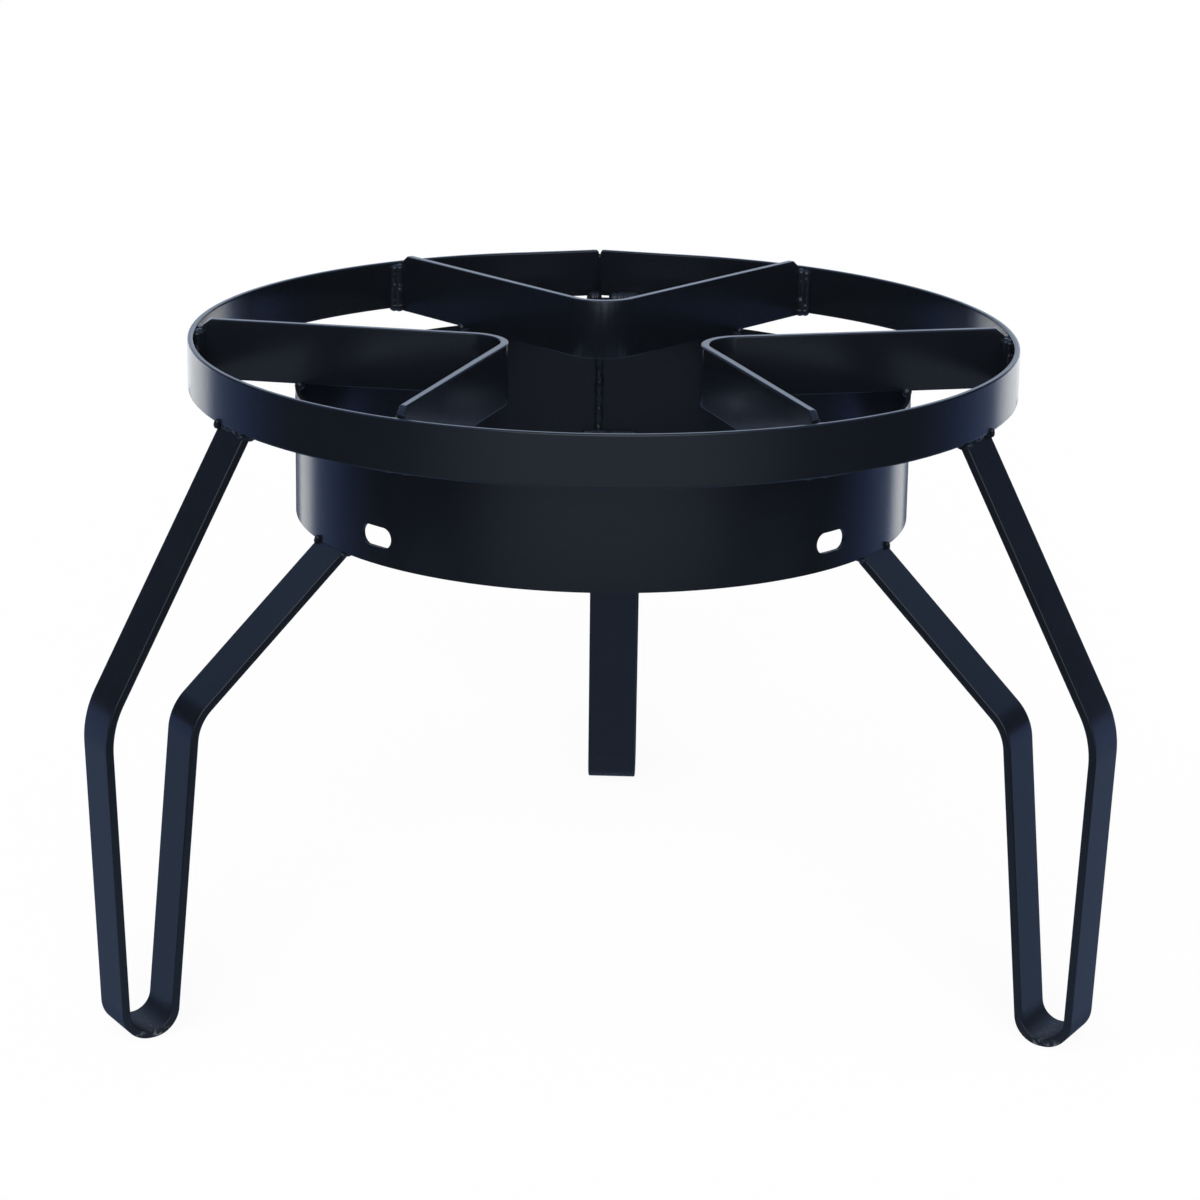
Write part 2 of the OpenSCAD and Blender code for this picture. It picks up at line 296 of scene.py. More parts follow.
def bent_bar_tree():
    """Node tree that bends a flat bar along a path in its own plane, with a radius at each
    corner, and stands it up in the direction of its leg."""
    name = "bent_flat_bar"
    if name in bpy.data.node_groups:
        return bpy.data.node_groups[name]
    tree, add = new_tree(name, [
        ("Geometry", "Geometry", None), ("Bar Width", "Float", 0.025),
        ("Bar Thickness", "Float", 0.004), ("Edge Radius", "Float", 0.0006),
        ("Bend Steps", "Int", 16), ("Direction", "Float", 0.0),
        ("Coat", "Material", None)])
    given = add("NodeGroupInput").outputs
    radius = add("GeometryNodeInputNamedAttribute", {"Name": "bend"}, data_type="FLOAT")
    line = add("GeometryNodeMeshToCurve", {"Mesh": given["Geometry"]})
    bent = add("GeometryNodeFilletCurve", {
        "Curve": line, "Count": given["Bend Steps"], "Radius": radius}, mode="POLY")
    outline = add("GeometryNodeCurvePrimitiveQuadrilateral", {
        "Width": given["Bar Thickness"], "Height": given["Bar Width"]}, mode="RECTANGLE")
    rounded = add("GeometryNodeFilletCurve", {
        "Curve": outline, "Count": 3, "Radius": given["Edge Radius"]}, mode="POLY")
    bar = add("GeometryNodeCurveToMesh", {
        "Curve": bent, "Profile Curve": rounded, "Fill Caps": True})
    turn = add("ShaderNodeCombineXYZ", {"X": math.pi / 2, "Z": given["Direction"]})
    stood = add("GeometryNodeTransform", {"Geometry": bar, "Rotation": turn})
    real = add("GeometryNodeRealizeInstances", {"Geometry": stood})
    dressed = add("GeometryNodeSetMaterial", {"Geometry": real, "Material": given["Coat"]})
    add("NodeGroupOutput", {"Geometry": dressed})
    return tree


def face_weighted(piece):
    """Keeps flat faces flat and rounds only what is rounded."""
    piece.data.shade_smooth()
    piece.data.set_sharp_from_angle(angle=math.radians(40))
    weights = piece.modifiers.new("Face weights", "WEIGHTED_NORMAL")
    weights.keep_sharp = True
    weights.weight = 100
    bake_modifiers(piece)


def strand_end(knee, corner, thickness):
    """End of a strand whose upper corner lies on the given point, in the leg's plane."""
    reach = Vector(corner) - Vector(knee)
    half = thickness / 2
    angle = math.atan2(reach.y, reach.x) + math.asin(half / reach.length)
    run = math.sqrt(reach.length ** 2 - half ** 2)
    return (knee[0] + run * math.cos(angle), knee[1] + run * math.sin(angle))


def leg_path(legs):
    """Corners of a leg's middle line, as distance from the middle and height, and bends."""
    foot = HOOP_RADIUS + legs.foot_reach
    knee_out = (HOOP_RADIUS + legs.knee_out_reach, legs.knee_out_height)
    knee_in = (SHROUD_RADIUS + legs.knee_in_reach, legs.knee_in_height)
    under_hoop = (HOOP_RADIUS - legs.hoop_bar + legs.hoop_bite, HOOP_BOTTOM)
    under_shroud = (SHROUD_RADIUS - legs.shroud_bite, SHROUD_BOTTOM)
    half = legs.bar_thickness / 2
    corners = [strand_end(knee_out, under_hoop, legs.bar_thickness), knee_out,
               (foot + legs.foot_span / 2, half), (foot - legs.foot_span / 2, half),
               knee_in, strand_end(knee_in, under_shroud, legs.bar_thickness)]
    bends = [0.0, legs.knee_out_bend, legs.foot_bend, legs.foot_bend, legs.knee_in_bend, 0.0]
    return corners, bends


# Weld beads

def weld_bead_tree():
    """Node tree that lays a rippled bead along each strand of a path. Each ripple is one
    pool of the weld, and bows towards the end of the pass."""
    name = "weld_bead"
    if name in bpy.data.node_groups:
        return bpy.data.node_groups[name]
    tree, add = new_tree(name, [
        ("Geometry", "Geometry", None), ("Ripple Length", "Float", 0.0022),
        ("Ripple Depth", "Float", 0.14), ("Bow", "Float", 0.0015),
        ("Wander", "Float", 0.0006), ("Lumps", "Float", 0.2),
        ("Lump Length", "Float", 0.0038), ("Reach", "Float", 1.0),
        ("Seed", "Int", 1), ("Coat", "Material", None)])
    given = add("NodeGroupInput").outputs
    spot = add("GeometryNodeInputPosition")
    # Spreads the seeds, so that no two beads look alike
    seed = add("ShaderNodeMath", [given["Seed"], 7.31], operation="MULTIPLY")

    # The line of the bead, a point each 0.3 mm, which strays in waves 5 mm long as a hand does
    line = add("GeometryNodeMeshToCurve", {"Mesh": given["Geometry"]})
    fine = add("GeometryNodeResampleCurve", {"Curve": line, "Length": 0.0003}, mode="LENGTH")
    drift = add("ShaderNodeTexNoise", {
        "Vector": spot, "W": seed, "Scale": 190.0, "Detail": 1.0}, noise_dimensions="4D")
    centred = add("ShaderNodeVectorMath", [
        drift.outputs["Color"], (0.5, 0.5, 0.5)], operation="SUBTRACT")
    stray = add("ShaderNodeMath", [given["Wander"], 2.0], operation="MULTIPLY")
    shift = add("ShaderNodeVectorMath", {0: centred, "Scale": stray}, operation="SCALE")
    kept = add("GeometryNodeSetPosition", {"Geometry": fine, "Offset": shift})

    # What each point of the line hands on to the ring of points round it
    along = add("GeometryNodeSplineParameter").outputs["Length"]
    whole = add("GeometryNodeSplineLength")
    ahead = add("ShaderNodeMath", [whole, along], operation="SUBTRACT")
    nearer = add("ShaderNodeMath", [along, ahead], operation="MINIMUM")
    for key, kind, value in (("along", "FLOAT", along), ("nearer", "FLOAT", nearer),
                             ("axis", "FLOAT_VECTOR", spot)):
        kept = add("GeometryNodeStoreNamedAttribute", {
            "Geometry": kept, "Name": key, "Value": value}, data_type=kind, domain="POINT")
    along, nearer, thick, axis, facing = (
        add("GeometryNodeInputNamedAttribute", {"Name": key}, data_type=kind)
        for key, kind in (("along", "FLOAT"), ("nearer", "FLOAT"), ("thick", "FLOAT"),
                          ("axis", "FLOAT_VECTOR"), ("facing", "FLOAT_VECTOR")))
    ring = add("GeometryNodeCurvePrimitiveCircle", {"Resolution": 22}, mode="RADIUS")
    tube = add("GeometryNodeCurveToMesh", {
        "Curve": kept, "Profile Curve": ring, "Scale": thick, "Fill Caps": True})

    # Lumps, where the hand paused
    pitch = add("ShaderNodeMath", [1.0, given["Lump Length"]], operation="DIVIDE")
    lump = add("ShaderNodeTexNoise", {
        "Vector": axis, "W": seed, "Scale": pitch, "Detail": 2.0}, noise_dimensions="4D")
    swing = add("ShaderNodeMath", [lump, 0.5], operation="SUBTRACT")
    swell = add("ShaderNodeMath", [given["Lumps"], 2.0], operation="MULTIPLY")
    lumpy = add("ShaderNodeMath", [swing, swell], operation="MULTIPLY")

    # Ripples, which bow ahead on the side that faces out
    arm = add("ShaderNodeVectorMath", [spot, axis], operation="SUBTRACT")
    arm_way = add("ShaderNodeVectorMath", [arm], operation="NORMALIZE")
    faces_out = add("ShaderNodeVectorMath", [arm_way, facing], operation="DOT_PRODUCT")
    bow = add("ShaderNodeMath", [faces_out, given["Bow"]], operation="MULTIPLY")
    run = add("ShaderNodeMath", [along, bow], operation="ADD")
    count = add("ShaderNodeMath", [run, given["Ripple Length"]], operation="DIVIDE")
    uneven = add("ShaderNodeMath", [lump, 0.9], operation="MULTIPLY")
    beat = add("ShaderNodeMath", [count, uneven], operation="ADD")
    phase = add("ShaderNodeMath", [beat, math.pi], operation="MULTIPLY")
    wave = add("ShaderNodeMath", [phase], operation="SINE")
    crest = add("ShaderNodeMath", [wave], operation="ABSOLUTE")
    dip = add("ShaderNodeMath", [1.0, crest], operation="SUBTRACT")
    groove = add("ShaderNodeMath", [given["Ripple Depth"], dip], operation="MULTIPLY")
    body = add("ShaderNodeMath", [1.0, lumpy], operation="ADD")
    relief = add("ShaderNodeMath", [body, groove], operation="SUBTRACT")

    # Ends that round off like a drop
    inset = add("ShaderNodeMath", [nearer, thick], operation="DIVIDE", use_clamp=True)
    rest = add("ShaderNodeMath", [2.0, inset], operation="SUBTRACT")
    dome = add("ShaderNodeMath", [inset, rest], operation="MULTIPLY")
    taper = add("ShaderNodeMath", [dome], operation="SQRT")
    size = add("ShaderNodeMath", [relief, taper], operation="MULTIPLY")
    place = add("ShaderNodeVectorMath", {0: arm, "Scale": size}, operation="SCALE")
    spread = add("ShaderNodeVectorMath", [axis, place], operation="ADD")

    # Nothing of a bead lies further from the middle of the stand than its reach
    flat = add("ShaderNodeVectorMath", [spread, (1.0, 1.0, 0.0)], operation="MULTIPLY")
    far = add("ShaderNodeVectorMath", [flat], operation="LENGTH")
    room = add("ShaderNodeMath", [given["Reach"], far], operation="DIVIDE")
    held = add("ShaderNodeMath", [1.0, room], operation="MINIMUM")
    drawn_in = add("ShaderNodeCombineXYZ", [held, held, 1.0])
    within = add("ShaderNodeVectorMath", [spread, drawn_in], operation="MULTIPLY")
    shaped = add("GeometryNodeSetPosition", {"Geometry": tube, "Position": within})
    closed = add("GeometryNodeMergeByDistance", {"Geometry": shaped, "Distance": 0.00001})
    real = add("GeometryNodeRealizeInstances", {"Geometry": closed})
    dressed = add("GeometryNodeSetMaterial", {"Geometry": real, "Material": given["Coat"]})
    add("NodeGroupOutput", {"Geometry": dressed})
    return tree


def lay_bead(node, strands, facings, radius, seed, **more):
    """Lays beads in place of one weld node, all of one radius or each of its own."""
    sizes = radius if isinstance(radius, list) else [radius] * len(strands)
    values = [f for strand, f in zip(strands, facings) for _ in strand]
    radii = [r for strand, r in zip(strands, sizes) for _ in strand]
    piece = path_object(node + "_bead", strands, {"facing": ("FLOAT_VECTOR", values),
                                                  "thick": ("FLOAT", radii)})
    welds = bpy.context.scene.stand_welds
    run_tree(piece, weld_bead_tree(), {
        "Ripple Length": welds.ripple_length, "Ripple Depth": welds.ripple_depth,
        "Bow": welds.bow, "Wander": welds.wander, "Lumps": welds.lumps, "Seed": seed,
        "Coat": bead_coat(), **more})
    shape = bmesh.new()
    shape.from_mesh(piece.data)
    bmesh.ops.recalc_face_normals(shape, faces=shape.faces)
    shape.to_mesh(piece.data)
    shape.free()
    piece.data.shade_smooth()
    hand_over(piece, [node])


def arm_line():
    """Middle line of one arm of a support, seen from above: where it leaves the bend, its
    two directions, along and across, and the radius of the hoop's inner wall."""
    bars = bpy.context.scene.stand_bars
    bend = bars.support_bend + bars.support_thickness / 2
    centre = Vector((bars.support_nose + bars.support_thickness + bars.support_bend, 0))
    inside = HOOP_RADIUS - bpy.context.scene.stand_legs.hoop_bar
    end = inside * Vector((math.cos(bars.support_half_angle), math.sin(bars.support_half_angle)))
    reach = end - centre
    turn = math.atan2(reach.y, reach.x) + math.acos(bend / reach.length)
    lead = Vector((math.sin(turn), -math.cos(turn)))
    side = Vector((math.cos(turn), math.sin(turn)))
    return centre + bend * side, lead, side, inside


def meets_circle(start, lead, radius):
    """Where a line seen from above leaves a circle round the middle of the stand."""
    k = start.dot(lead)
    return start + (math.sqrt(k * k - start.dot(start) + radius * radius) - k) * lead


# Settings

def setting(name, description, default, low, high, **kind):
    """A number as a setting, with its default, its least and its most."""
    return FloatProperty(name=name, description=description, default=default, min=low,
                         max=high, **kind)


def length(name, description, default, low, high, precision=4):
    """A length as a setting, in metres."""
    return setting(name, description, default, low, high, precision=precision, unit="LENGTH")


def share(name, description, default, low, high):
    """A share as a setting."""
    return setting(name, description, default, low, high, subtype="FACTOR")


def direction(name, description, default, low=-math.pi, high=math.pi):
    """An angle as a setting, in radians."""
    return setting(name, description, default, low, high, subtype="ANGLE")


class StandCoat(bpy.types.PropertyGroup):
    """Look of the powder coat."""
    colour: FloatVectorProperty(
        name="Coat Colour", description="Colour of the coat on bar and sheet", subtype="COLOR",
        min=0.0, max=1.0, default=hex_linear("#15191f")[:3])
    weld_colour: FloatVectorProperty(
        name="Weld Colour", description="Colour of the coat over the welds", subtype="COLOR",
        min=0.0, max=1.0, default=hex_linear("#181c22")[:3])
    roughness: share("Roughness", "Satin of the coat", 0.2, 0.1, 0.8)
    peel: length("Orange Peel", "Height of the coat's orange peel", 0.00002, 0.0, 0.0005, 6)
    rolling: length("Rolling Marks", "Unevenness of the rolled steel under the coat",
                    0.00005, 0.0, 0.001, 6)


class StandBars(bpy.types.PropertyGroup):
    """Sizes of the hoop, the supports and the shroud."""
    edge: length("Bar Edge", "Radius of the bars' rolled edges", 0.0007, 0.0001, 0.002, 5)
    hoop_edge: length("Hoop Edge", "Radius of the hoop's worn rolled edges",
                      0.0009, 0.0001, 0.0014, 5)
    sheet_edge: length("Sheet Edge", "Radius of the sheet's sheared edges",
                       0.0003, 0.0001, 0.001, 5)
    support_thickness: length("Support Thickness", "Thickness of the supports' bar",
                              0.004, 0.002, 0.008)
    support_nose: length("Support Nose", "Distance from the middle to a support's nose",
                         0.0565, 0.04, 0.08)
    support_bend: length("Support Bend", "Inside radius of the bend at the nose",
                         0.017, 0.008, 0.03)
    support_half_angle: direction("Support Half Angle",
                                  "Angle from a support's middle to its end",
                                  math.radians(32), 0.3, 0.7)
    sheet: length("Sheet Thickness", "Thickness of the shroud's sheet", 0.002, 0.001, 0.004)


class StandLegs(bpy.types.PropertyGroup):
    """Sizes of the hairpin legs."""
    bar_width: length("Bar Width", "Width of the legs' flat bar", 0.0265, 0.015, 0.04)
    bar_thickness: length("Bar Thickness", "Thickness of the legs' flat bar",
                          0.004, 0.002, 0.008)
    knee_out_reach: length("Outer Knee Reach", "How far the outer knee stands beyond the hoop",
                           0.069, 0.04, 0.1)
    knee_out_height: length("Outer Knee Height", "Height of the outer knee", 0.158, 0.1, 0.2)
    knee_out_bend: length("Outer Knee Bend", "Radius of the bend at the outer knee",
                          0.047, 0.01, 0.08)
    knee_in_reach: length("Inner Knee Reach",
                          "How far the inner knee stands beyond the shroud",
                          0.0765, 0.04, 0.1)
    knee_in_height: length("Inner Knee Height", "Height of the inner knee", 0.1545, 0.1, 0.2)
    knee_in_bend: length("Inner Knee Bend", "Radius of the bend at the inner knee",
                         0.024, 0.01, 0.06)
    foot_reach: length("Foot Reach", "How far the foot stands beyond the hoop",
                       0.0505, 0.03, 0.08)
    foot_span: length("Foot Span", "Distance between the two strands at the floor",
                      0.024, 0.015, 0.04)
    foot_bend: length("Foot Bend", "Radius of the two bends that make the foot",
                      0.012, 0.005, 0.015)
    hoop_bar: length("Hoop Bar Thickness", "Thickness of the hoop's flat bar",
                     0.003, 0.002, 0.006)
    hoop_bite: length("Hoop Bite", "How far a leg's corner lies under the hoop",
                      0.001, 0.0, 0.003, 5)
    shroud_bite: length("Shroud Bite", "How far a leg's corner lies in from the shroud",
                        0.0005, 0.0, 0.002, 5)
    back_direction: direction("Back Leg Direction", "Direction of the leg beside the seam",
                              math.radians(87.3), 1.4, 1.7)


class StandWelds(bpy.types.PropertyGroup):
    """Sizes of the weld beads."""
    end_bead: length("Support Bead", "Radius of the two passes round a support's end",
                     0.0027, 0.002, 0.007, 5)
    nugget: length("Shroud Bead", "Radius of the short beads on the shroud",
                   0.0025, 0.002, 0.006, 5)
    leg_bead: length("Leg Bead", "Radius of the beads between the legs and the hoop",
                     0.0042, 0.002, 0.006, 5)
    foot_bead: length("Shroud Leg Bead", "Radius of the beads between legs and shroud",
                      0.0028, 0.002, 0.006, 5)
    corner_lump: length("Corner Lumps", "Radius of the lumps at the sides of a leg",
                        0.0015, 0.001, 0.005, 5)
    seam_bead: length("Seam Bead", "Radius of the beads along the seams",
                      0.0022, 0.001, 0.004, 5)
    ripple_length: length("Ripple Length", "Length of one pool of the weld",
                          0.0031, 0.001, 0.006, 5)
    ripple_depth: share("Ripple Depth", "Depth of a ripple, as a share of the radius",
                        0.06, 0.0, 0.5)
    bow: length("Bow", "How far the middle of a ripple runs ahead", 0.0016, 0.0, 0.005, 5)
    wander: length("Wander", "How far a hand-laid bead strays from its line",
                   0.0008, 0.0, 0.003, 5)
    lumps: share("Lumps", "How uneven a bead's thickness is", 0.34, 0.0, 0.6)


class StandStage(bpy.types.PropertyGroup):
    """Floor, lights and camera."""
    floor_colour: FloatVectorProperty(
        name="Floor Colour", description="Colour of the floor", subtype="COLOR",
        min=0.0, max=1.0, default=hex_linear("#fdfdfd")[:3])
    eye: FloatVectorProperty(
        name="Camera Place", description="Where the camera stands", subtype="TRANSLATION",
        unit="LENGTH", precision=5, default=(-0.025683, -1.843721, 0.728101))
    pitch: direction("Camera Pitch", "How far the camera looks down", 0.289020)
    yaw: direction("Camera Yaw", "How far the camera turns to the right", 0.013959)
    roll: direction("Camera Roll", "How far the camera leans", 0.015157)
    lens: FloatProperty(
        name="Lens", description="Focal length in millimetres on a 36 mm sensor",
        min=10.0, max=300.0, default=115.495)


# Operators

class STAND_OT_top_hoop(bpy.types.Operator):
    """Make the rolled hoop of flat bar"""
    bl_idname = "stand.top_hoop"
    bl_label = "Top Hoop"

    def execute(self, context):
        inside = HOOP_RADIUS - context.scene.stand_legs.hoop_bar
        rolled_edge_copy("top_hoop_bar", "top_hoop", context.scene.stand_bars.hoop_edge,
                         (HOOP_RADIUS, inside))
        return {"FINISHED"}


class STAND_OT_wind_shroud(bpy.types.Operator):
    """Make the rolled wind shroud with its slots"""
    bl_idname = "stand.wind_shroud"
    bl_label = "Wind Shroud"

    def execute(self, context):
        bars = context.scene.stand_bars
        rolled_edge_copy("wind_shroud_sheet", "wind_shroud", bars.sheet_edge,
                         (SHROUD_RADIUS, SHROUD_RADIUS - bars.sheet))
        return {"FINISHED"}


class STAND_OT_pot_supports(bpy.types.Operator):
    """Make the three V-shaped pot supports"""
    bl_idname = "stand.pot_supports"
    bl_label = "Pot Supports"

    def execute(self, context):
        for arm in ARMS:
            node = "pot_support_" + arm
            rolled_edge_copy(node + "_bar", node, context.scene.stand_bars.edge)
        return {"FINISHED"}


class STAND_OT_legs(bpy.types.Operator):
    """Bend the three hairpin legs from flat bar"""
    bl_idname = "stand.legs"
    bl_label = "Hairpin Legs"

    def execute(self, context):
        legs = context.scene.stand_legs
        corners, bends = leg_path(legs)
        for arm, angle in ARMS.items():
            node = "leg_" + arm
            facing = legs.back_direction if arm == "back" else math.radians(angle)
            piece = path_object(node + "_bar", [[(r, z, 0.0) for r, z in corners]],
                                {"bend": ("FLOAT", bends)})
            run_tree(piece, bent_bar_tree(), {
                "Bar Width": legs.bar_width, "Bar Thickness": legs.bar_thickness,
                "Edge Radius": context.scene.stand_bars.edge, "Bend Steps": 16,
                "Direction": facing, "Coat": bar_coat()})
            face_weighted(piece)
            hand_over(piece, [node])
        return {"FINISHED"}


class STAND_OT_seam_welds(bpy.types.Operator):
    """Lay the beads along the seams of the hoop and the shroud"""
    bl_idname = "stand.seam_welds"
    bl_label = "Seam Welds"

    def execute(self, context):
        welds = context.scene.stand_welds
        # The bead fills the outer half of the hoop's seam, whose inner half stays open
        low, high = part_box("hoop_seam_weld")
        thin = 0.75 * welds.seam_bead
        y = high[1] - thin
        lay_bead("hoop_seam_weld", [[(0.0, y, low[2]), (0.0, y, high[2])]], [(0, 1, 0)],
                 thin, 11, Wander=0.0001, Lumps=0.15)
        # The other bead stands on the inner wall of the shroud, its middle just clear of it
        low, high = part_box("shroud_seam_weld")
        clear = 0.0003
        y = SHROUD_RADIUS - context.scene.stand_bars.sheet - clear
        lay_bead("shroud_seam_weld", [[(0.0, y, low[2]), (0.0, y, high[2])]], [(0, -1, 0)],
                 welds.seam_bead, 12, Wander=0.0013, Lumps=0.5)
        return {"FINISHED"}


class STAND_OT_support_welds(bpy.types.Operator):
    """Lay the beads that hold the supports' ends in the hoop"""
    bl_idname = "stand.support_welds"
    bl_label = "Support Welds"

    def execute(self, context):
        bars, welds = context.scene.stand_bars, context.scene.stand_welds
        root, lead, side, inside = arm_line()
        reach = inside + context.scene.stand_legs.hoop_bar / 2
        # How far the two passes lie from the corner between the bar's side and the hoop: one
        # along the hoop, one back along the bar, and each a little proud of the wall there
        on_hoop_off, on_bar_off, proud = 0.0024, 0.0022, 0.0006
        # How far each pass stops below the weld's top, and how it curls back at its foot
        tops, bottom, curl, tip = (0.0006, 0.0002), 0.004, 0.0016, 0.001
        seed = 20
        for arm, angle in ARMS.items():
            for mirrored, letter in ENDS:
                node = "support_weld_%s_%s" % (arm, letter)
                low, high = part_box(node)
                strands, facings = [], []
                for s in (-1, 1):
                    at = meets_circle(root + s * bars.support_thickness / 2 * side, lead, inside)
                    round_hoop = Vector((-at.y, at.x)).normalized()
                    round_hoop *= math.copysign(1.0, round_hoop.dot(s * side))
                    on_hoop = at + on_hoop_off * round_hoop - proud * at.normalized()
                    on_bar = at - on_bar_off * lead + proud * s * side
                    for spot, short in zip((on_hoop, on_bar), tops):
                        under = spot - curl * lead
                        strands.append([turned((p.x, p.y, z), angle, mirrored) for p, z in (
                            (spot, high[2] - short), (spot, low[2] + bottom),
                            (under, low[2] + tip))])
                        out = (s * side - 0.7 * lead).normalized()
                        facings.append(turned((out.x, out.y, 0.0), angle, mirrored))
                # Laid upright: long soft lumps in place of ripples
                lay_bead(node, strands, facings, welds.end_bead, seed, **{
                    "Ripple Depth": 0.02, "Lumps": 0.6, "Lump Length": 0.009,
                    "Wander": 0.0003, "Reach": reach})
                seed += 1
        return {"FINISHED"}


class STAND_OT_shroud_welds(bpy.types.Operator):
    """Lay the short beads that hold the supports on the shroud"""
    bl_idname = "stand.shroud_welds"
    bl_label = "Shroud Welds"

    def execute(self, context):
        bars, welds = context.scene.stand_bars, context.scene.stand_welds
        root, lead = arm_line()[:2]
        cross = meets_circle(root, lead, SHROUD_RADIUS - bars.sheet)
        out = cross.normalized()
        # Half a bead's length round the shroud, and how deep its middle lies in the edge
        half_run, sunk = 0.0036, 0.0008
        run = Vector((-out.y, out.x)) * half_run
        seed = 40
        for arm, angle in ARMS.items():
            for mirrored, letter in ENDS:
                strand = [turned((p.x, p.y, SHROUD_TOP - sunk), angle, mirrored)
                          for p in (cross - run, cross + run)]
                lay_bead("shroud_weld_%s_%s" % (arm, letter), [strand], [(0, 0, 1)],
                         welds.nugget, seed, Lumps=0.3)
                seed += 1
        return {"FINISHED"}


class STAND_OT_leg_welds(bpy.types.Operator):
    """Lay the beads at the top ends of the legs"""
    bl_idname = "stand.leg_welds"
    bl_label = "Leg Welds"

    def execute(self, context):
        legs, welds = context.scene.stand_legs, context.scene.stand_welds
        rounds = (("hoop", HOOP_RADIUS, legs.hoop_bar, HOOP_BOTTOM, welds.leg_bead),
                  ("shroud", SHROUD_RADIUS, context.scene.stand_bars.sheet, SHROUD_BOTTOM,
                   welds.foot_bead))
        half = legs.bar_width / 2
        # The pass across a leg runs a little past both sides, and leaves the hoop's seam
        # free, which lies over the back leg
        first, last, seam = -half - 0.001, half + 0.003, (0.0046, 0.0078)
        seed = 60
        for arm, angle in ARMS.items():
            facing = math.degrees(legs.back_direction) if arm == "back" else angle
            for where, r, stock, z, radius in rounds:
                inside = r - stock
                at_seam = arm == "back" and where == "hoop"
                cuts = (first, *seam, last) if at_seam else (first, last)
                strands, facings, sizes = [], [], []
                for ends in zip(cuts[::2], cuts[1::2]):
                    strands.append([turned((inside - radius / 2, across, z), facing)
                                    for across in ends])
                    facings.append(turned((-1, 0, 0.4), facing))
                    sizes.append(radius)
                # A short lump at each side of the leg. The far one climbs the edge above it.
                for s in (-1, 1):
                    far = turned((0, s, 0), facing).y > 0
                    climb, inset = (0.0022, 0.0022) if far else (0.0, -0.0004)
                    strands.append([turned((at, s * (half - dy), z + dz), facing)
                                    for at, dy, dz in ((r + 0.0002, inset, climb),
                                                       (r, inset / 2, -0.0008),
                                                       (inside, -0.0006, -0.0022))])
                    facings.append(turned((0, s, -0.4), facing))
                    sizes.append(welds.corner_lump)
                lay_bead("leg_%s_weld_%s" % (where, arm), strands, facings, sizes, seed,
                         Wander=0.0005, Lumps=0.42)
                seed += 1
        return {"FINISHED"}


